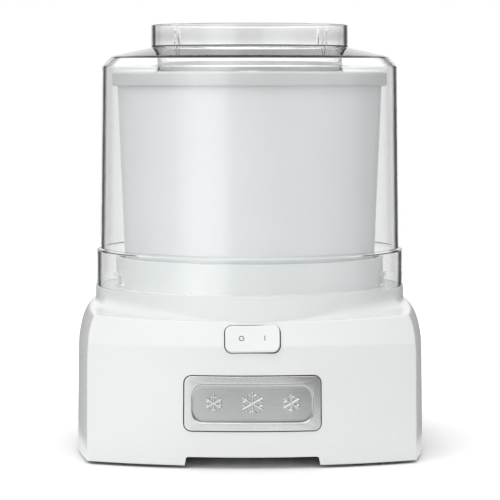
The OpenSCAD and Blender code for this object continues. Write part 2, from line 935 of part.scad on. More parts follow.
// Smooth path through the route's points
function spline_at(p, i, t) =
    let (
        last = len(p) - 1,
        a = p[max(i - 1, 0)],
        b = p[i],
        c = p[min(i + 1, last)],
        d = p[min(i + 2, last)]
    )
    0.5 * (2 * b + (c - a) * t + (2 * a - 5 * b + 4 * c - d) * t * t
        + (3 * b - a - 3 * c + d) * t * t * t);

function smooth(p, steps) = concat(
    [for (i = [0:len(p) - 2], s = [0:steps - 1]) spline_at(p, i, s / steps)],
    [p[len(p) - 1]]
);

// Wire of radius r through the points, with eight sides
module wire(points, r = 1.1) {
    path = smooth(points, 3);
    sides = 8;
    last = len(path) - 1;
    rings = [for (i = [0:last])
        let (
            along = unit(path[min(i + 1, last)] - path[max(i - 1, 0)]),
            across = unit(cross(along, [0.31, 0.22, 0.93])),
            up = cross(across, along)
        )
        for (k = [0:sides - 1])
            path[i] + r * (cos(360 * k / sides) * across + sin(360 * k / sides) * up)];
    skin = [for (i = [0:last - 1], k = [0:sides - 1])
        let (n = (k + 1) % sides)
        [i * sides + k, (i + 1) * sides + k, (i + 1) * sides + n, i * sides + n]];
    polyhedron(points = rings, faces = concat(
        [[for (k = [0:sides - 1]) k]],
        skin,
        [[for (k = [sides - 1:-1:0]) last * sides + k]]
    ));
}

block_left = [block_at[0] - 13.2, 84, 19];
block_right = [block_at[0] + 13.2, 84, 19];
switch_left_route = [
    block_left, [-60, 86, 19], [-86, 62, 20], [-98, 30, 20], [-100, -10, 20],
    [-92, -50, 20], [-62, -84, 22], [-24, -90, 40], [-9, -84, 58], [-8, -82, 66]
];
coil_left_route = [block_right, [0, 82, 20], [20, 82, 24], [33, 75, 32], [39.3, 72.5, 36]];
coil_right_route = [
    [8, -82, 66], [12, -84, 54], [36, -88, 30], [70, -74, 20], [94, -40, 20],
    [98, 0, 22], [97, 34, 38], [88, 50, 48.5], [77, 58, 49]
];

module lead_block_to_switch() { color("#2b5aa8") wire(switch_left_route); }
module lead_block_to_coil() { color("#e8e8e8") wire(coil_left_route); }
module lead_switch_to_coil() { color("#1f2022") wire(coil_right_route); }

// ---- Fasteners ----

// Pan-head screw, head down, with its head's underside at z = 0
module screw(shank_r, shank_h, head_r, head_h) {
    difference() {
        union() {
            cylinder(r = shank_r, h = shank_h);
            translate([0, 0, -head_h]) cylinder(r = head_r, h = head_h);
        }
        for (turn = [0, 90]) {
            rotate(turn) translate([-head_r * 0.6, -0.5, -head_h - 1])
                cube([head_r * 1.2, 1, head_h * 0.6 + 1]);
        }
    }
}

module bottom_cover_screws() {
    color(steel) for (p = posts) {
        at_xy(p, cover_z) screw(post_bore_r, 18, 3.6, 2.2);
    }
}

module gearbox_mount_screws() {
    color(steel) for (p = mount_ears) {
        at_xy(p, case_top_z - ear_t) screw(mount_screw_r, 15.6, 3.4, 2.4);
    }
}

module gearbox_mount_grommets() {
    color("#2c2d2f") for (p = mount_ears) {
        at_xy(p, case_top_z + gearbox_cover_t) tube(6, mount_hole_r, 2);
    }
}

module gearbox_cover_screws() {
    color(steel) for (p = closing_ears) {
        at_xy(p, case_top_z + gearbox_cover_t) mirror([0, 0, 1]) screw(1.4, 6.6, 2.8, 1.8);
    }
}

module motor_through_screws() {
    color(steel) for (x = [-through_x, through_x]) {
        at_xy(motor_at + [x, 0], stack_z - 7) screw(1.9, 34.4, 3.6, 2.4);
        at_xy(motor_at + [x, 0], stack_z + stack_h + 7) tube(3.6, 1.9, 2.2);
    }
}

module motor_mount_screws() {
    color(steel) for (x = [-pad_x, pad_x]) {
        at_xy(motor_at + [x, 0], stack_z + stack_h + 5) screw(1.4, 6.6, 2.6, 1.7);
    }
}

// ---- Nodes ----

lid();
mixing_paddle();
bowl_outer_shell();
bowl_liner();
bowl_rim_ring();
bowl_rim_seal();
bowl_coolant();
drive_hub();
hub_screw();
drive_spindle();
spindle_circlip();
thrust_washer();
output_gear();
housing();
bottom_cover();
nameplate();
cord_inlet_bush();
rubber_foot_front_left();
rubber_foot_front_right();
rubber_foot_back_left();
rubber_foot_back_right();
switch_rocker();
switch_body();
switch_terminals();
spindle_seal();
spindle_upper_bush();
spindle_lower_bush();
gearbox_case();
gearbox_cover();
first_gear_pin();
second_gear_pin();
first_gear();
second_gear();
motor_laminations();
motor_coil();
coil_bobbin();
motor_upper_bracket();
motor_lower_bracket();
motor_upper_bearing();
motor_lower_bearing();
rotor();
motor_shaft();
motor_fan();
motor_pinion();
terminal_block();
lead_block_to_switch();
lead_block_to_coil();
lead_switch_to_coil();
bottom_cover_screws();
gearbox_mount_screws();
gearbox_mount_grommets();
gearbox_cover_screws();
motor_through_screws();
motor_mount_screws();
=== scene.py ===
"""Looks of the ice cream maker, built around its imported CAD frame.

The object's own shapes are written in millimetres, and the floor, boards and camera in metres.
"""

import math

import bmesh
import bpy
from mathutils import Matrix, Vector


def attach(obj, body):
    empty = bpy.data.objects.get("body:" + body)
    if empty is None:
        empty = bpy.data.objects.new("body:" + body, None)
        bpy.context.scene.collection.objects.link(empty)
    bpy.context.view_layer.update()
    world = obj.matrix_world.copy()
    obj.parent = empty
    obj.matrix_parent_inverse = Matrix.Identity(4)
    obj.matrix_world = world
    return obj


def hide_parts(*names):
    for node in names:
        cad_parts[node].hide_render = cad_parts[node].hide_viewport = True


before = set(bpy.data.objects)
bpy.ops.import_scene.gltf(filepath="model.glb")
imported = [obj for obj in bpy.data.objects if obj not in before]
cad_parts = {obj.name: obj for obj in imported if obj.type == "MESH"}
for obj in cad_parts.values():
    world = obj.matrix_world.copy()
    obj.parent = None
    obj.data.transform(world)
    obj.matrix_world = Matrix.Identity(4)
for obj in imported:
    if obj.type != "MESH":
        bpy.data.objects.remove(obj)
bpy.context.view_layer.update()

MM = 0.001
SHARP_ANGLE = math.radians(32)

# Base form, as in the CAD
FACE_R, FACE_D = 261.6, 115.8
SIDE_R, SIDE_D = 424.0, 117.3
SKIRT_Z, EDGE_Z, BAND_TOP_Z = 2.0, 78.0, 93.5
FACE_LEAN, SIDE_LEAN, BAND_RUN = 2.8, 0.9, 8.0
SHOULDER_Z, SHOULDER_W, SHOULDER_H = 68.0, 12.0, 32.0
DECK_Z, CROWN_R = 99.5, 921.0
WALL = 2.6
COLLAR_R, LEDGE_Z, LIP_Z = 105.0, 109.4, 109.7
WELL_R, WELL_TOP_Z, WELL_FLOOR_Z, WELL_UNDER_Z = 91.1, 129.4, 99.0, 96.0
SPINDLE_HOLE_R = 9
POSTS = [(88, 78), (-88, 78), (88, -78), (-88, -78)]
INLET_Z = 25.5
PLATE_Z = 42.0
SWITCH_AT = (0.0, -110.2, 83.4)
BAND_TILT = math.atan2(BAND_TOP_Z - EDGE_Z, BAND_RUN)


# ---- Mesh helpers ----


def finish_mesh(obj):
    """Outward normals, smooth shading, and sharp edges above the sharp angle"""
    bm = bmesh.new()
    bm.from_mesh(obj.data)
    bmesh.ops.remove_doubles(bm, verts=bm.verts, dist=1e-7)
    bmesh.ops.dissolve_degenerate(bm, edges=bm.edges, dist=1e-8)
    bmesh.ops.recalc_face_normals(bm, faces=bm.faces)
    bm.to_mesh(obj.data)
    bm.free()
    obj.data.shade_smooth()
    obj.data.set_sharp_from_angle(angle=SHARP_ANGLE)
    return obj


def add_object(name, verts, faces):
    """New object from points in millimetres"""
    mesh = bpy.data.meshes.new(name)
    mesh.from_pydata([[c * MM for c in p] for p in verts], [], faces)
    obj = bpy.data.objects.new(name, mesh)
    bpy.context.scene.collection.objects.link(obj)
    return finish_mesh(obj)


def grid_faces(row_count, count, wrap_rows):
    """Quads between closed rows of count points each"""
    faces = []
    for i in range(row_count if wrap_rows else row_count - 1):
        a, b = i * count, (i + 1) % row_count * count
        for k in range(count):
            n = (k + 1) % count
            faces.append((a + k, a + n, b + n, b + k))
    return faces


def add_rows(name, rows, wrap_rows=False, caps=False):
    """Object skinned over rows, each a closed loop of points"""
    count = len(rows[0])
    faces = grid_faces(len(rows), count, wrap_rows)
    if caps:
        faces.append(tuple(range(count)))
        faces.append(tuple((len(rows) - 1) * count + k for k in range(count)))
    return add_object(name, [p for row in rows for p in row], faces)


def rounded(points, steps):
    """Closed outline through (x, y, radius) points, with an arc in steps at each that has a radius"""
    out = []
    for i, (x, y, radius) in enumerate(points):
        at = Vector((x, y))
        before = Vector(points[i - 1][:2]) - at
        after = Vector(points[(i + 1) % len(points)][:2]) - at
        if radius <= 0:
            out.append((x, y))
            continue
        u, v = before.normalized(), after.normalized()
        half = math.acos(max(-1.0, min(1.0, u.dot(v)))) / 2
        cut = min(radius / math.tan(half), 0.49 * before.length, 0.49 * after.length)
        centre = at + (u + v).normalized() * (cut / math.cos(half))
        start, end = at + u * cut - centre, at + v * cut - centre
        sweep = math.pi - 2 * half
        for k in range(steps + 1):
            t = k / steps
            p = centre + (start * math.sin((1 - t) * sweep) + end * math.sin(t * sweep)) / math.sin(sweep)
            out.append((p.x, p.y))
    return out


def divided(a, b, parts):
    """Points from a on the way to b in equal parts, without b itself"""
    return [(a[0] + (b[0] - a[0]) * k / parts, a[1] + (b[1] - a[1]) * k / parts) for k in range(parts)]


def split_long(points, longest, closed=True):
    """The outline with more points on its long straight parts"""
    out = []
    for a, b in zip(points, points[1:] + points[:1] if closed else points[1:]):
        out += divided(a, b, max(1, math.ceil(math.dist(a, b) / longest)))
    return out if closed else out + points[-1:]


def lathe(name, profile, columns=256):
    """Closed (r, z) outline turned about the row's Z axis"""
    turns = circle(1, columns)
    rows = [[(r * c, r * s, z) for c, s in turns] for r, z in profile]
    return add_rows(name, rows, wrap_rows=True)


def prism(name, outline, low, high, place):
    """Outline in X and Y, drawn out from low to high along Z, then placed"""
    rows = [[tuple(place @ Vector((x, y, h))) for x, y in outline] for h in (low, high)]
    return add_rows(name, rows, caps=True)


RECT_STEPS = 6


def rounded_rect(w, h, r):
    corners = [(w / 2, -h / 2, r), (w / 2, h / 2, r), (-w / 2, h / 2, r), (-w / 2, -h / 2, r)]
    return rounded(corners, RECT_STEPS)


def circle(r, count=48):
    turns = [2 * math.pi * k / count for k in range(count)]
    return [(r * math.cos(turn), r * math.sin(turn)) for turn in turns]


def boolean(obj, tool, operation):
    """Combine obj with the tool, which is used up"""
    modifier = obj.modifiers.new(operation.lower(), "BOOLEAN")
    modifier.operation = operation
    modifier.solver = "EXACT"
    modifier.object = tool
    graph = bpy.context.evaluated_depsgraph_get()
    combined = bpy.data.meshes.new_from_object(obj.evaluated_get(graph))
    old = obj.data
    obj.modifiers.clear()
    obj.data = combined
    bpy.data.meshes.remove(old)
    bpy.data.objects.remove(tool)


def join(obj, *others):
    """Others become part of obj's mesh"""
    bm = bmesh.new()
    for o in (obj, *others):
        bm.from_mesh(o.data)
    bm.to_mesh(obj.data)
    bm.free()
    for o in others:
        bpy.data.objects.remove(o)
    return finish_mesh(obj)


def turn_z(degrees):
    return Matrix.Rotation(math.radians(degrees), 4, "Z")


def dress(obj, material, body, slot, *nodes):
    """Material, body and the CAD nodes that the piece stands for; the record slot argument, slot, is not used
    """
    obj.data.materials.clear()
    obj.data.materials.append(material)
    flat = obj.modifiers.new("flat_wide_faces", "WEIGHTED_NORMAL")
    flat.keep_sharp = True
    flat.weight = 85
    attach(obj, body)
    if nodes:
        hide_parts(*nodes)
    return obj


# ---- Materials ----


def new_material(name, color, roughness, **settings):
    """Principled material, with constants on the shader's own sockets"""
    material = bpy.data.materials.new(name)
    material.use_nodes = True
    shader = material.node_tree.nodes["Principled BSDF"]
    shader.inputs["Base Color"].default_value = (*color, 1)
    shader.inputs["Roughness"].default_value = roughness
    for key, value in settings.items():
        shader.inputs[key.replace("_", " ")].default_value = value
    return material


def noise(material, scale, detail, stretch=(1, 1, 1)):
    """Noise in object space; scale is in cycles per metre"""
    nodes, links = material.node_tree.nodes, material.node_tree.links
    where = nodes.new("ShaderNodeTexCoord")
    mapping = nodes.new("ShaderNodeMapping")
    mapping.inputs["Scale"].default_value = stretch
    texture = nodes.new("ShaderNodeTexNoise")
    texture.inputs["Scale"].default_value = scale
    texture.inputs["Detail"].default_value = detail
    links.new(where.outputs["Object"], mapping.inputs["Vector"])
    links.new(mapping.outputs["Vector"], texture.inputs["Vector"])
    return texture.outputs["Fac"]


# Most of a noise's values lie between these
NOISE_LOW, NOISE_HIGH = 0.3, 0.7


def spread(material, value, low, high):
    """The noise's usual values mapped onto low to high"""
    node = material.node_tree.nodes.new("ShaderNodeMapRange")
    node.inputs["From Min"].default_value = NOISE_LOW
    node.inputs["From Max"].default_value = NOISE_HIGH
    node.inputs["To Min"].default_value = low
    node.inputs["To Max"].default_value = high
    material.node_tree.links.new(value, node.inputs["Value"])
    return node.outputs["Result"]


def vary_color(material, value, low, high):
    ramp = material.node_tree.nodes.new("ShaderNodeValToRGB")
    ramp.color_ramp.elements[0].position = NOISE_LOW
    ramp.color_ramp.elements[0].color = (*low, 1)
    ramp.color_ramp.elements[1].position = NOISE_HIGH
    ramp.color_ramp.elements[1].color = (*high, 1)
    links = material.node_tree.links
    links.new(value, ramp.inputs["Fac"])
    links.new(ramp.outputs["Color"], material.node_tree.nodes["Principled BSDF"].inputs["Base Color"])


def vary_roughness(material, value, low, high):
    socket = material.node_tree.nodes["Principled BSDF"].inputs["Roughness"]
    material.node_tree.links.new(spread(material, value, low, high), socket)


def add_bump(material, value, height_mm):
    bump = material.node_tree.nodes.new("ShaderNodeBump")
    bump.inputs["Strength"].default_value = 1.0
    bump.inputs["Distance"].default_value = height_mm * MM
    links = material.node_tree.links
    links.new(value, bump.inputs["Height"])
    links.new(bump.outputs["Normal"], material.node_tree.nodes["Principled BSDF"].inputs["Normal"])


def shade(color, factor):
    return tuple(c * factor for c in color)


MOTTLE_SCALE = 22


def surface(name, color, roughness, grain, grain_mm, mottle, stretch=(1, 1, 1), **settings):
    """Material with a fine grain in bump and roughness, and a faint broad mottle in colour"""
    material = new_material(name, color, roughness, **settings)
    fine = noise(material, grain, 4, stretch)
    vary_roughness(material, fine, roughness * 0.85, roughness * 1.15)
    add_bump(material, fine, grain_mm)
    broad = noise(material, MOTTLE_SCALE, 2)
    vary_color(material, broad, shade(color, 1 - mottle), shade(color, 1 + mottle / 2))
    return material


def turned(name, color, roughness):
    """Machined or drawn metal with fine lines round the Z axis"""
    return surface(name, color, roughness, 900, 0.003, 0.05, (0.15, 0.15, 4), Metallic=1.0)


white_plastic = surface("white_gloss_plastic", (0.745, 0.755, 0.753), 0.24, 420, 0.006, 0.012)
# A lighter, satin copy of the white plastic: painted light that makes up for the shade in the well under the
# lid
well_plastic_painted_light = surface("white_satin_plastic_painted_light", (0.92, 0.945, 0.945), 0.32, 420, 0.006, 0.012)
bowl_plastic = surface("frosted_bowl_plastic", (0.93, 0.955, 0.96), 0.34, 1500, 0.003, 0.015)
rim_plastic = surface("grey_rim_plastic", (0.73, 0.75, 0.75), 0.4, 1500, 0.006, 0.03)
paddle_plastic = surface("white_paddle_plastic", (0.86, 0.86, 0.84), 0.38, 1200, 0.005, 0.015)
hub_plastic = surface("grey_hub_plastic", (0.62, 0.64, 0.65), 0.4, 1200, 0.006, 0.03)
cover_plastic = surface("grained_cover_plastic", (0.70, 0.71, 0.71), 0.55, 2600, 0.03, 0.03)
black_plastic = surface("black_plastic", (0.02, 0.02, 0.022), 0.45, 1800, 0.01, 0.1)
dark_casting = surface("dark_glass_filled_plastic", (0.035, 0.038, 0.04), 0.6, 2400, 0.03, 0.12)
acetal = surface("acetal", (0.80, 0.78, 0.70), 0.35, 1500, 0.004, 0.03)
cream_plastic = surface("cream_nylon", (0.70, 0.65, 0.50), 0.45, 1500, 0.006, 0.04)
black_rubber = surface("black_rubber", (0.022, 0.022, 0.024), 0.75, 2600, 0.04, 0.15)
grey_rubber = surface("grey_rubber", (0.22, 0.235, 0.24), 0.7, 2400, 0.03, 0.08)
aluminium = turned("bare_aluminium", (0.80, 0.81, 0.82), 0.32)
steel = turned("bright_steel", (0.60, 0.61, 0.62), 0.28)
die_cast = surface("die_cast_alloy", (0.52, 0.53, 0.54), 0.45, 1400, 0.03, 0.08, Metallic=1.0)
bronze = surface("sintered_bronze", (0.50, 0.33, 0.16), 0.5, 3000, 0.03, 0.1, Metallic=1.0)
brass = turned("brass", (0.70, 0.52, 0.22), 0.3)
lamination = surface(
    "lamination_steel", (0.20, 0.205, 0.21), 0.5, 900, 0.12, 0.1, (0.02, 0.02, 2.2), Metallic=0.8
)
copper = surface("copper_winding", (0.60, 0.22, 0.09), 0.4, 900, 0.25, 0.15, (1.6, 0.05, 0.05), Metallic=0.9)
coolant = surface("blue_coolant", (0.20, 0.52, 0.72), 0.2, 200, 0.05, 0.2)
blue_wire = surface("blue_wire", (0.02, 0.08, 0.36), 0.4, 1500, 0.01, 0.05)
white_wire = surface("white_wire", (0.72, 0.72, 0.70), 0.4, 1500, 0.01, 0.05)
black_wire = surface("black_wire", (0.02, 0.02, 0.022), 0.4, 1500, 0.01, 0.05)
print_ink = surface("grey_print", (0.12, 0.125, 0.13), 0.5, 2500, 0.004, 0.1)

brushed_steel = surface(
    "brushed_steel", (0.60, 0.605, 0.61), 0.17, 900, 0.012, 0.06, (0.03, 1, 4), Metallic=1.0
)
panel_steel = surface(
    "brushed_panel_steel", (0.45, 0.457, 0.46), 0.2, 900, 0.012, 0.08, (0.03, 1, 4), Metallic=1.0
)

clear_plastic = new_material(
    "clear_plastic", (0.993, 0.999, 0.997), 0.03, IOR=1.5, Transmission_Weight=1.0
)
ripple = noise(clear_plastic, 60, 2)
vary_roughness(clear_plastic, noise(clear_plastic, 300, 3), 0.012, 0.045)
add_bump(clear_plastic, ripple, 0.02)


# ---- Base ----


def smooth_step(x, width):
    """0 below zero and x above it, with a soft bend of the given width"""
    return 0.0 if x <= -width else x if x >= width else (x + width) ** 2 / (4 * width)


def front_radius(z, inset):
    slope = FACE_LEAN / (EDGE_Z - SKIRT_Z)
    band = BAND_RUN / (BAND_TOP_Z - EDGE_Z)
    return FACE_R - inset - slope * (z - SKIRT_Z) - (band - slope) * smooth_step(z - EDGE_Z, 1.1)


def side_radius(z, inset):
    if z <= SHOULDER_Z:
        return SIDE_R - inset - SIDE_LEAN * (z - SKIRT_Z) / (SHOULDER_Z - SKIRT_Z)
    up = min(1.0, (z - SHOULDER_Z) / SHOULDER_H)
    return SIDE_R - inset - SIDE_LEAN - SHOULDER_W * (1 - math.sqrt(1 - up * up))


def crown_z(y, inset):
    return DECK_Z - CROWN_R + math.sqrt((CROWN_R - inset) ** 2 - y * y)


FRONT_STEPS, CORNER_STEPS, SIDE_STEPS = 40, 8, 30
COLUMNS = FRONT_STEPS + CORNER_STEPS + SIDE_STEPS


def quarter_point(k, z, inset, fillet):
    """Point k of the plan outline's front right quarter, from the front's middle to the side's middle"""
    front_c, side_c = Vector((0, FACE_R - FACE_D)), Vector((SIDE_D - SIDE_R, 0))
    front_r, side_r = front_radius(z, inset), side_radius(z, inset)
    a, b = front_r - fillet, side_r - fillet
    gap = side_c - front_c
    d = gap.length
    along = (a * a - b * b + d * d) / (2 * d)
    across = math.sqrt(a * a - along * along)
    middle = front_c + gap.normalized() * along
    normal = Vector((-gap.y, gap.x)).normalized()
    corner = max((middle + normal * across, middle - normal * across), key=lambda p: p.x - p.y)
    front_end = math.atan2(corner.y - front_c.y, corner.x - front_c.x)
    side_end = math.atan2(corner.y - side_c.y, corner.x - side_c.x)
    if k <= FRONT_STEPS:
        angle = -math.pi / 2 + (front_end + math.pi / 2) * k / FRONT_STEPS
        return front_c + front_r * Vector((math.cos(angle), math.sin(angle)))
    if k <= FRONT_STEPS + CORNER_STEPS:
        angle = front_end + (side_end - front_end) * (k - FRONT_STEPS) / CORNER_STEPS
        return corner + fillet * Vector((math.cos(angle), math.sin(angle)))
    angle = side_end * (COLUMNS - k) / SIDE_STEPS
    return side_c + side_r * Vector((math.cos(angle), math.sin(angle)))


def wall_top(k, inset, fillet):
    """Height where the wall meets the crowned deck"""
    low, high = EDGE_Z, DECK_Z - inset + 0.49
    for _ in range(40):
        z = (low + high) / 2
        if z < crown_z(quarter_point(k, z, inset, fillet).y, inset):
            low = z
        else:
            high = z
    return low


def quarter_column(k):
    """The housing's section at column k, as a closed list of points from the well's floor outwards"""
    fillet = 2.0
    top_z = wall_top(k, 0, fillet)
    edge = quarter_point(k, top_z, 0, fillet)
    azimuth = edge.normalized()
    room = edge.length - COLLAR_R

    def at(r, z):
        return (azimuth.x * r, azimuth.y * r, z)

    def deck(r, inset=0.0):
        return (azimuth.x * r, azimuth.y * r, crown_z(azimuth.y * r, inset))

    def wall(z, inset, rounding=fillet):
        p = quarter_point(k, z, inset, rounding)
        return (p.x, p.y, z)

    cove = max(0.4, min(9.0, 0.85 * room))
    turned = rounded(
        [
            (SPINDLE_HOLE_R, WELL_FLOOR_Z, 0.3),
            (24, WELL_FLOOR_Z, 0.4), (24, 101.6, 0.5), (26.5, 101.6, 0.5),
            (26.5, WELL_FLOOR_Z, 0.4), (WELL_R - WALL, WELL_FLOOR_Z, 2.5),
            (WELL_R - WALL, WELL_TOP_Z, 1.0), (WELL_R, WELL_TOP_Z, 1.0), (WELL_R, LEDGE_Z, 0.8),
            (COLLAR_R - 0.5, LEDGE_Z, 0), (COLLAR_R - 0.4, LIP_Z, 0.1), (COLLAR_R, LIP_Z, 0.2),
            # The last two only close the outline and are dropped
            (COLLAR_R, 90, 0), (SPINDLE_HOLE_R, 90, 0),
        ],
        4,
    )[:-2]
    column = [at(r, z) for r, z in split_long(turned, 14, closed=False)]
    foot = deck(COLLAR_R + cove)[2]
    for i in range(7):
        turn = math.pi / 2 * i / 6
        column.append(at(COLLAR_R + cove * (1 - math.cos(turn)), foot + cove * (1 - math.sin(turn))))
    soft = min(1.6, 0.45 * (room - cove))
    inner_r, outer_r = COLLAR_R + cove, edge.length - soft
    column += [deck(inner_r + (outer_r - inner_r) * i / 6) for i in range(1, 7)]
    bend_z = top_z - 1.3
    start, end = Vector(deck(outer_r)), Vector(wall(bend_z, 0))
    peak = Vector((edge.x, edge.y, top_z))
    for i in range(1, 5):
        t = i / 5
        column.append(tuple(start * (1 - t) ** 2 + peak * (2 * t * (1 - t)) + end * t * t))
    # Rows crowd together towards the top of the wall and at the edge of the sloped band
    span = bend_z - 80
    column += [wall(80 + span * math.cos(math.pi / 2 * i / 9), 0) for i in range(9)]
    for z in (80, 79.2, 78.7, 78.2, 77.7, 77.2, 76.6, 75.5, 72, 68, 64, 58, 50, 42, 34, 26, 18, 10, 5, 3):
        column.append(wall(z, 0))
    column += [wall(2.5, 0.05), wall(2.15, 0.25), wall(SKIRT_Z, 0.7), wall(SKIRT_Z, WALL - 0.4, 1.0)]
    column += [wall(z, WALL, 1.0) for z in (2.4, 10, 20, 40, 60, 68, 74, 78, 82)]
    inner_top = wall_top(k, WALL, 1.0)
    column += [wall(82 + (inner_top - 82) * math.sin(math.pi / 2 * i / 4), WALL, 1.0) for i in range(1, 5)]
    inner_edge = quarter_point(k, inner_top, WALL, 1.0).length
    hollow_r = COLLAR_R - WALL
    if inner_edge > hollow_r + 0.2:
        column += [deck(inner_edge + (hollow_r - inner_edge) * i / 3, WALL) for i in range(1, 4)]
    else:
        column += [deck(inner_edge, WALL)] * 3
    column += [at(hollow_r, LEDGE_Z - WALL), at(WELL_R, LEDGE_Z - WALL)]
    column += [at(r, WELL_UNDER_Z) for r in (WELL_R, 70, 40, SPINDLE_HOLE_R)]
    return column


def base_rows():
    """Closed rows round the base, from the quarter's columns and their mirror images"""
    quarter = [quarter_column(k) for k in range(COLUMNS + 1)]
    columns = quarter[:-1]
    columns += [[(x, -y, z) for x, y, z in c] for c in quarter[:0:-1]]
    columns += [[(-x, -y, z) for x, y, z in c] for c in quarter[:-1]]
    columns += [[(-x, y, z) for x, y, z in c] for c in quarter[:0:-1]]
    return [list(row) for row in zip(*columns)]


def on_front(x, z, proud):
    """Point on the front face at x and z, standing out by proud"""
    r = front_radius(z, 0) + proud
    angle = math.asin(x / FACE_R)
    return (r * math.sin(angle), FACE_R - FACE_D - r * math.cos(angle), z)


def proud_of(point):
    """How far a point in metres stands out of the front face, in millimetres"""
    x, y, z = point / MM
    return math.hypot(x, y - (FACE_R - FACE_D)) - front_radius(z, 0)


def band_matrix():
    return Matrix.Translation(SWITCH_AT) @ Matrix.Rotation(BAND_TILT, 4, "X")


def shrunk(outline_args, inset):
    """Rounded rectangle set in by inset, with the same number of points"""
    w, h, r = outline_args
    return rounded_rect(w - 2 * inset, h - 2 * inset, max(0.3, r - inset))


def front_slab(size, levels):
    """Rows of a slab on the front face, one for each level of (inset, proud)"""
    return [
        [on_front(x, PLATE_Z + z, proud) for x, z in split_plate(shrunk(size, inset))]
        for inset, proud in levels
    ]


SHORT_SIDE_PARTS, LONG_SIDE_PARTS = 8, 22


def split_plate(outline):
    """The rounded rectangle with its straight sides divided evenly, the same way at every inset"""
    out = []
    for i, a in enumerate(outline):
        corner, step = divmod(i, RECT_STEPS + 1)
        parts = 1
        if step == RECT_STEPS:
            parts = LONG_SIDE_PARTS if corner % 2 else SHORT_SIDE_PARTS
        out += divided(a, outline[(i + 1) % len(outline)], parts)
    return out


MIDDLE_STEPS = 6


def close_middle(size, inset, proud):
    """Loops that shrink from inset to the slab's middle line, which closes the surface"""
    inmost = size[1] / 2 - 0.3
    insets = [inset + (inmost - inset) * i / MIDDLE_STEPS for i in range(1, MIDDLE_STEPS + 1)]
    middle = [on_front(x, PLATE_Z, proud) for x, _ in split_plate(shrunk(size, insets[-1]))]
    return front_slab(size, [(s, proud) for s in insets]) + [middle]


# The nameplate's pocket: width, height and corner radius
POCKET, POCKET_DEPTH = (89.3, 36.3, 5.15), 1.6


def build_housing():
    housing = add_rows("base_housing", base_rows(), wrap_rows=True)
    for angle in (-18, 18, 162, 198):
        lug = prism("lug", rounded([(0, -2.2, 0), (5, -2.2, 0.8), (5, 2.2, 0.8), (0, 2.2, 0)], 3), 117, 120,
                    turn_z(angle) @ Matrix.Translation((WELL_R - 1, 0, 0)))
        boolean(housing, lug, "UNION")
    rows = close_middle(POCKET, 0, 12)[::-1] + front_slab(POCKET, [(0, 12), (0, -POCKET_DEPTH)])
    pocket = add_rows("pocket", rows + close_middle(POCKET, 0, -POCKET_DEPTH))
    boolean(housing, pocket, "DIFFERENCE")
    opening = prism("opening", rounded_rect(36.4, 19, 5), -8, 22, band_matrix())
    boolean(housing, opening, "DIFFERENCE")
    forward = Matrix.Rotation(math.radians(90), 4, "X")
    notch = prism("notch", rounded([(-44.5, -3, 0), (44.5, -3, 0), (42.5, 7.6, 1.6), (-42.5, 7.6, 1.6)], 5),
                  95, 125, forward)
    boolean(housing, notch, "DIFFERENCE")
    backward = Matrix.Translation((0, 0, INLET_Z)) @ Matrix.Rotation(math.radians(-90), 4, "X")
    boolean(housing, prism("inlet", circle(8.05), 105, 130, backward), "DIFFERENCE")
    boolean(housing, prism("inlet_seat", circle(11), 113, 130, backward), "DIFFERENCE")
    posts = [lathe("post", [(1.6, 11.5), (4.5, 11.5), (4.5, 90), (1.6, 90)], 32) for _ in POSTS]
    for post, (x, y) in zip(posts, POSTS):
        post.data.transform(Matrix.Translation((x * MM, y * MM, 0)))
    return join(housing, *posts)


housing = dress(build_housing(), white_plastic, "base", "white_housing", "housing")
housing.data.materials.append(well_plastic_painted_light)
# Black rubber paints the shadow in the gap round the nameplate
housing.data.materials.append(black_rubber)
# The well is satin and painted lighter than the housing, as painted light for the shade under the lid; the
# gap round the nameplate is black rubber, a painted shadow line
for face in housing.data.polygons:
    x, y, z = face.center / MM
    by_plate = abs(x) < POCKET[0] / 2 + 0.05 and abs(z - PLATE_Z) < POCKET[1] / 2 + 0.05
    # Painted light: the well's faces take the lighter satin plastic
    if z > WELL_FLOOR_Z - 0.5 and math.hypot(x, y) < COLLAR_R - 0.45:
        face.material_index = 1
    # Painted shadow: the pocket's walls and floor round the plate are made dark
    elif by_plate and -POCKET_DEPTH - 0.1 < proud_of(face.center) < -0.4:
        face.material_index = 2


# ---- Nameplate: a brushed plate with a sunk panel and a generic frost motif ----


# The plate's back, its frame and its sunk panel, as heights over the base's front face
PLATE_BACK, FRAME_TOP, PANEL_TOP = -0.7, 0.76, -0.15


def build_nameplate():
    size, panel = (88, 35, 4.5), (79, 25.6, 8)
    outer = [(0, PLATE_BACK), (0, 0.4), (0.1, 0.62), (0.3, 0.75)]
    outer += [(inset, FRAME_TOP) for inset in (0.4, 2.0, 3.6)]
    inner = [(0, FRAME_TOP), (0.1, 0.74), (0.35, 0.5), (0.55, 0.1), (0.9, -0.1), (1.6, PANEL_TOP)]
    rows = close_middle(size, 0, PLATE_BACK)[::-1] + front_slab(size, outer) + front_slab(panel, inner)
    return add_rows("nameplate", rows + close_middle(panel, 1.6, PANEL_TOP))


def relief_bar(x, z, length, width, angle):
    """Raised bar with sloped sides on the panel; angle in degrees from level"""
    c, s = math.cos(math.radians(angle)), math.sin(math.radians(angle))
    loops = []
    for inset, proud in ((0, -0.4), (0, PANEL_TOP), (0.3, 0.65), (0.6, 0.85)):
        half_l, half_w = length / 2 - inset, width / 2 - inset
        outline = rounded([(half_l, -half_w, half_w * 0.9), (half_l, half_w, half_w * 0.9),
                           (-half_l, half_w, half_w * 0.9), (-half_l, -half_w, half_w * 0.9)], 4)
        loops.append([on_front(x + u * c - v * s, PLATE_Z + z + u * s + v * c, proud) for u, v in outline])
    return add_rows("bar", loops, caps=True)


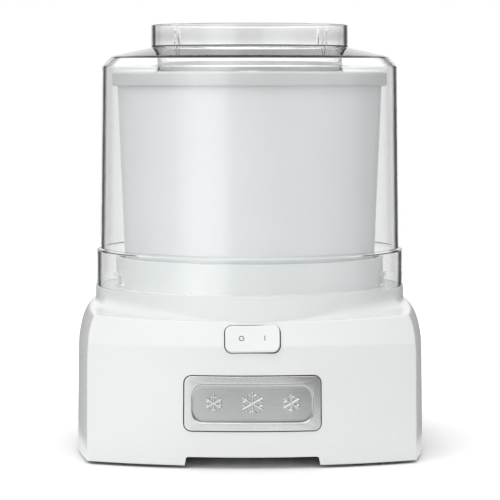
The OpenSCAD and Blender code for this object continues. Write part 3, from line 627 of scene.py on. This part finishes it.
def snowflake(x, reach):
    bars = [relief_bar(x, 0, 2 * reach, 1.6, turn + 30) for turn in (0, 60, 120)]
    for turn in range(6):
        a = math.radians(60 * turn + 30)
        for side in (-1, 1):
            b = a + side * math.radians(58)
            d, length = 0.56 * reach, 0.42 * reach
            bars.append(relief_bar(x + d * math.cos(a) + length / 2 * math.cos(b),
                                   d * math.sin(a) + length / 2 * math.sin(b), length, 1.35, math.degrees(b)))
    return bars


def build_motif():
    bars = []
    for x, reach in ((-25, 6.2), (0, 8.0), (25, 6.2)):
        bars += snowflake(x, reach)
    return join(bars[0], *bars[1:])


plate = dress(build_nameplate(), brushed_steel, "base", "brushed_plate", "nameplate")
plate.data.materials.append(panel_steel)
# The sunk panel is darker than the frame
for face in plate.data.polygons:
    if abs(face.center.x) < 39 * MM and -0.3 < proud_of(face.center) < 0.12:
        face.material_index = 1
motif = build_motif()
motif.name = "nameplate_frost_motif"
dress(motif, brushed_steel, "base", "brushed_plate")


# ---- Lid ----


def build_lid():
    profile = rounded(
        [
            (64.3, 285.75, 0.9), (66.8, 285.75, 0.9), (66.8, 270.3, 1.0), (94, 264.3, 3.5),
            (100.35, 257.4, 2.5), (102, 135.2, 0.2), (104.4, 133.4, 0.2), (104.4, 109.5, 0.25),
            (102.2, 109.5, 0.25), (102.2, 133.2, 0.15), (99.8, 134.9, 0.15), (98.1, 256.8, 1.0),
            (93.1, 262, 1.0), (63.2, 267.9, 0.3), (63.2, 254.8, 0.5), (61.4, 254.8, 0.5),
            (61.4, 270.4, 0.25), (64.3, 271.6, 0.25),
        ],
        6,
    )
    lid = lathe("clear_lid", split_long(profile, 12), 240)
    for turn in (40, 140, 220, 320):
        gusset = prism("gusset", [(60.4, 270.5), (61.6, 269.4), (63, 270), (65, 271.6), (65, 283)], -0.6, 0.6,
                       turn_z(turn) @ Matrix.Rotation(math.radians(90), 4, "X"))
        boolean(lid, gusset, "UNION")
    for turn in (-31, 31, 149, 211):
        outline = rounded([(98, -2.2, 0.8), (102.9, -2.2, 0), (102.9, 2.2, 0), (98, 2.2, 0.8)], 3)
        boolean(lid, prism("lug", outline, 112.5, 114, turn_z(turn)), "UNION")
        stop = prism("stop", [(100.9, 1), (102.9, 1), (102.9, 2), (100.9, 2)], 113, 121.5, turn_z(turn))
        boolean(lid, stop, "UNION")
    for turn in (0, 180):
        slot = prism("slot", [(55, -4), (64, -4), (64, 4), (55, 4)], 250, 262.5, turn_z(turn))
        boolean(lid, slot, "DIFFERENCE")
    return finish_mesh(lid)


lid = build_lid()
lid.visible_shadow = False
dress(lid, clear_plastic, "lid", "clear_plastic", "lid")


# ---- Bowl ----

shell = lathe("bowl_shell", split_long(rounded(
    [
        (0.01, 104.3, 0), (84.2, 104.3, 6), (89.8, 247, 0.4), (87.2, 247, 0.4), (81.6, 106.9, 4),
        (22, 106.9, 1), (22, 116.4, 1), (0.01, 116.4, 0),
    ], 7), 12))
dress(shell, bowl_plastic, "bowl", "white_bowl", "bowl_outer_shell")

ring = lathe("bowl_rim", rounded(
    [
        (76, 247.3, 0.3), (76, 253.9, 1.5), (93.3, 253.9, 1.6), (93.3, 244.3, 1.4),
        (90.2, 244.3, 0.3), (90.2, 247.3, 0.2),
    ], 6))
dress(ring, rim_plastic, "bowl", "grey_rim", "bowl_rim_ring")


# ---- Switch rocker, with its two marks ----


def build_rocker():
    """The cap, tilted to its off position, and its two printed marks"""
    tilt = math.radians(2.5)
    size = (35, 18, 4.5)
    half = size[0] / 2
    rise = half * math.tan(tilt)
    bottom, print_low, print_high = -1.6, -0.1, 0.05
    lean = Matrix.Translation((0, 0, -1)) @ Matrix.Rotation(-tilt, 4, "Y") @ Matrix.Translation((0, 0, 1))
    place = band_matrix() @ lean

    def top(x, lift):
        fold = smooth_step(abs(x) - 0.6, 0.6)
        return 0.5 + rise * fold / half + lift

    inmost = 8.7
    loops = [(0, -0.8), (0.08, -0.35), (0.35, -0.08)] + [(s, 0) for s in (0.8, 2, 3.5, 5.5, 7.5, inmost)]
    under = [[(x, y, bottom) for x, y in split_plate(shrunk(size, s))] for s in (inmost, 5.5, 2, 0)]
    rows = [[(x, 0, bottom) for x, _, _ in under[0]]] + under
    rows += [[(x, y, top(x, lift)) for x, y in split_plate(shrunk(size, s))] for s, lift in loops]
    rows.append([(x, 0, top(x, 0)) for x, _ in split_plate(shrunk(size, inmost))])
    rows = [[tuple(place @ Vector(p)) for p in row] for row in rows]
    rocker = add_rows("switch_rocker_cap", rows)
    foot = prism("rocker_foot", [(-13, -7), (13, -7), (13, 7), (-13, 7)], -3.4, -1.2, place)
    boolean(rocker, foot, "UNION")
    finish_mesh(rocker)
    ring_rows = [[(x - 6.9, y, top(x - 6.9, h)) for x, y in circle(r, 40)]
                 for r, h in ((1.75, print_low), (1.75, print_high), (1.2, print_high), (1.2, print_low))]
    ring_rows = [[tuple(place @ Vector(p)) for p in row] for row in ring_rows]
    off_mark = add_rows("off_mark", ring_rows, wrap_rows=True)
    bar_rows = [[tuple(place @ Vector((x + 8, y, top(x + 8, h)))) for x, y in rounded_rect(0.6, 3.5, 0.2)]
                for h in (print_low, print_high)]
    on_mark = add_rows("on_mark", bar_rows, caps=True)
    return rocker, join(off_mark, on_mark)


rocker, marks = build_rocker()
dress(rocker, white_plastic, "rocker", "white_housing", "switch_rocker")
marks.name = "switch_marks"
dress(marks, print_ink, "rocker", "white_housing")


# ---- Materials for the carried-over CAD nodes ----

node_materials = {
    "mixing_paddle": paddle_plastic,
    "bowl_liner": aluminium,
    "bowl_rim_seal": grey_rubber,
    "bowl_coolant": coolant,
    "drive_hub": hub_plastic,
    "hub_screw": steel,
    "drive_spindle": steel,
    "spindle_circlip": steel,
    "thrust_washer": bronze,
    "output_gear": acetal,
    "bottom_cover": cover_plastic,
    "cord_inlet_bush": black_rubber,
    "rubber_foot_front_left": black_rubber,
    "rubber_foot_front_right": black_rubber,
    "rubber_foot_back_left": black_rubber,
    "rubber_foot_back_right": black_rubber,
    "switch_body": black_plastic,
    "switch_terminals": brass,
    "spindle_seal": black_rubber,
    "spindle_upper_bush": bronze,
    "spindle_lower_bush": bronze,
    "gearbox_case": dark_casting,
    "gearbox_cover": dark_casting,
    "first_gear_pin": steel,
    "second_gear_pin": steel,
    "first_gear": acetal,
    "second_gear": acetal,
    "motor_laminations": lamination,
    "motor_coil": copper,
    "coil_bobbin": cream_plastic,
    "motor_upper_bracket": die_cast,
    "motor_lower_bracket": die_cast,
    "motor_upper_bearing": bronze,
    "motor_lower_bearing": bronze,
    "rotor": lamination,
    "motor_shaft": steel,
    "motor_fan": dark_casting,
    "motor_pinion": brass,
    "terminal_block": cream_plastic,
    "lead_block_to_switch": blue_wire,
    "lead_block_to_coil": white_wire,
    "lead_switch_to_coil": black_wire,
    "bottom_cover_screws": steel,
    "gearbox_mount_screws": steel,
    "gearbox_mount_grommets": black_rubber,
    "gearbox_cover_screws": steel,
    "motor_through_screws": steel,
    "motor_mount_screws": steel,
}
for node_name, material in node_materials.items():
    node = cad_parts[node_name]
    if not node.material_slots:
        node.data.materials.append(material)
    for slot in node.material_slots:
        slot.material = material


# ---- Floor, light and camera ----

floor_mesh = bpy.data.meshes.new("floor")
floor_corners = [(-0.22, -1.2, 0), (0.22, -1.2, 0), (0.22, 2.2, 0), (-0.22, 2.2, 0)]
floor_mesh.from_pydata(floor_corners, [], [(0, 1, 2, 3)])
floor = bpy.data.objects.new("floor", floor_mesh)
bpy.context.scene.collection.objects.link(floor)
pale_floor = surface("pale_floor", (0.93, 0.93, 0.93), 0.7, 200, 0.01, 0.005, Emission_Color=(1, 1, 1, 1))
where = pale_floor.node_tree.nodes.new("ShaderNodeTexCoord")
away = pale_floor.node_tree.nodes.new("ShaderNodeVectorMath")
away.operation = "LENGTH"
# A faint glow away from the object keeps the floor white there
glow = pale_floor.node_tree.nodes.new("ShaderNodeMapRange")
glow.inputs["From Min"].default_value = 0.12
glow.inputs["From Max"].default_value = 0.3
glow.inputs["To Max"].default_value = 0.2
pale_floor.node_tree.links.new(where.outputs["Object"], away.inputs[0])
pale_floor.node_tree.links.new(away.outputs["Value"], glow.inputs["Value"])
pale_floor.node_tree.links.new(
    glow.outputs["Result"], pale_floor.node_tree.nodes["Principled BSDF"].inputs["Emission Strength"])
floor.data.materials.append(pale_floor)


def dark_flag(name, x):
    """Black studio board beside the base, which only mirror-like reflections see"""
    mesh = bpy.data.meshes.new(name)
    corners = [(x, -0.06, 0.001), (x, 0.6, 0.001), (x, 0.6, 0.1), (x, -0.06, 0.1)]
    mesh.from_pydata(corners, [], [(0, 1, 2, 3)])
    mesh.materials.append(black_plastic)
    flag = bpy.data.objects.new(name, mesh)
    bpy.context.scene.collection.objects.link(flag)
    flag.visible_camera = flag.visible_diffuse = flag.visible_transmission = flag.visible_shadow = False


dark_flag("left_flag", -0.135)
dark_flag("right_flag", 0.135)


def sun_light(name, azimuth, elevation, angle, strength):
    """Distant light from an azimuth (0 is the front, 90 the right) and elevation, with soft shadows"""
    light = bpy.data.lights.new(name, "SUN")
    light.energy = strength
    light.angle = math.radians(angle)
    obj = bpy.data.objects.new(name, light)
    a, e = math.radians(azimuth), math.radians(elevation)
    towards = Vector((math.sin(a) * math.cos(e), -math.cos(a) * math.cos(e), math.sin(e)))
    obj.rotation_euler = towards.to_track_quat("Z", "Y").to_euler()
    bpy.context.scene.collection.objects.link(obj)


sun_light("high_key", -30, 50, 60, 0.7)

# The sky: a ring of light round the horizon, a darker gap above it and a bright zenith. Two narrow
# dark zones behind the object draw the dark edges that clear plastic shows against white.
world = bpy.data.worlds.new("studio")
world.use_nodes = True
nodes, links = world.node_tree.nodes, world.node_tree.links
background = nodes["Background"]
where = nodes.new("ShaderNodeTexCoord")
axes = nodes.new("ShaderNodeSeparateXYZ")
links.new(where.outputs["Generated"], axes.inputs["Vector"])


def math_node(operation, first, second):
    """Math node on two values, each a number or another node's output"""
    node = nodes.new("ShaderNodeMath")
    node.operation = operation
    for socket, value in zip(node.inputs, (first, second)):
        if isinstance(value, (int, float)):
            socket.default_value = value
        else:
            links.new(value, socket)
    return node.outputs["Value"]


# Brightness round the horizon by azimuth in degrees: 0 is the front, -90 the left, 180 the back
RING = [
    (-180, 1.0), (-164, 1.0), (-162, 0.08), (-151, 0.08), (-146, 0.45), (-120, 0.4), (-90, 0.35),
    (-64, 0.6), (-52, 1.3), (-42, 1.9), (-22, 1.6), (-13, 0.45), (20, 0.3), (38, 0.55), (52, 0.7),
    (84, 0.75), (98, 0.4), (115, 0.35), (145, 0.45), (151, 0.08), (162, 0.08), (164, 1.0), (180, 1.0),
]
RING_TOP = 2.5
# Brightness between the ring and the zenith, at the zenith, high at the back, and below the horizon
GAP, ZENITH, BACK_TOP, UNDER = 0.25, 1.8, 1.15, 0.8
turn = math_node("ARCTAN2", axes.outputs["X"], math_node("MULTIPLY", axes.outputs["Y"], -1.0))
ring = nodes.new("ShaderNodeValToRGB")
links.new(math_node("ADD", math_node("DIVIDE", turn, 2 * math.pi), 0.5), ring.inputs["Fac"])
stops = ring.color_ramp.elements
for azimuth, value in RING[1:-1]:
    stops.new(azimuth / 360 + 0.5)
for stop, (azimuth, value) in zip(stops, RING):
    stop.color = (value / RING_TOP, value / RING_TOP, value / RING_TOP, 1)


def blend(low, high, axis, start, end):
    """Low where the direction's axis is below start and high above end, with a smooth change between"""
    part = nodes.new("ShaderNodeMapRange")
    part.interpolation_type = "SMOOTHSTEP"
    part.inputs["From Min"].default_value = start
    part.inputs["From Max"].default_value = end
    links.new(axes.outputs[axis], part.inputs["Value"])
    mix = nodes.new("ShaderNodeMix")
    mix.data_type = "FLOAT"
    links.new(part.outputs["Result"], mix.inputs["Factor"])
    for socket, value in ((mix.inputs["A"], low), (mix.inputs["B"], high)):
        if isinstance(value, float):
            socket.default_value = value
        else:
            links.new(value, socket)
    return mix.outputs["Result"]


horizon = blend(UNDER, math_node("MULTIPLY", ring.outputs["Color"], RING_TOP), "Z", -0.16, -0.1)
front = blend(blend(horizon, GAP, "Z", 0.38, 0.5), ZENITH, "Z", 0.66, 0.8)
# At the back the ring is dimmer in a low band over the horizon, and a little brighter above that
lift = blend(blend(1.0, 0.7, "Z", 0.011, 0.018), 1.1, "Z", 0.05, 0.12)
back = blend(math_node("MULTIPLY", horizon, lift), BACK_TOP, "Z", 0.3, 0.42)
strength = blend(front, back, "Y", -0.1, 0.1)
# The camera itself sees plain white
path = nodes.new("ShaderNodeLightPath")
seen = nodes.new("ShaderNodeMix")
seen.data_type = "FLOAT"
links.new(path.outputs["Is Camera Ray"], seen.inputs["Factor"])
links.new(strength, seen.inputs["A"])
seen.inputs["B"].default_value = 1.0
links.new(seen.outputs["Result"], background.inputs["Strength"])
background.inputs["Color"].default_value = (1, 1, 1, 1)
scene = bpy.context.scene
scene.world = world
scene.view_settings.view_transform = "Standard"

# Focal length in pixels for a picture PHOTO_PX wide, and degrees looked down and to the right
FOCAL_PX, PHOTO_PX = 2361, 500
LOOK_DOWN, LOOK_RIGHT = 4.05, 0.97
SENSOR_MM = 36
camera = bpy.data.objects.new("camera", bpy.data.cameras.new("camera"))
camera.data.sensor_width = SENSOR_MM
camera.data.lens = SENSOR_MM * FOCAL_PX / PHOTO_PX
camera.data.clip_start = 0.05
camera.data.clip_end = 60
camera.location = (-0.027, -1.6118, 0.2466)
camera.rotation_euler = (math.radians(90 - LOOK_DOWN), 0, math.radians(-LOOK_RIGHT))
scene.collection.objects.link(camera)
scene.camera = camera
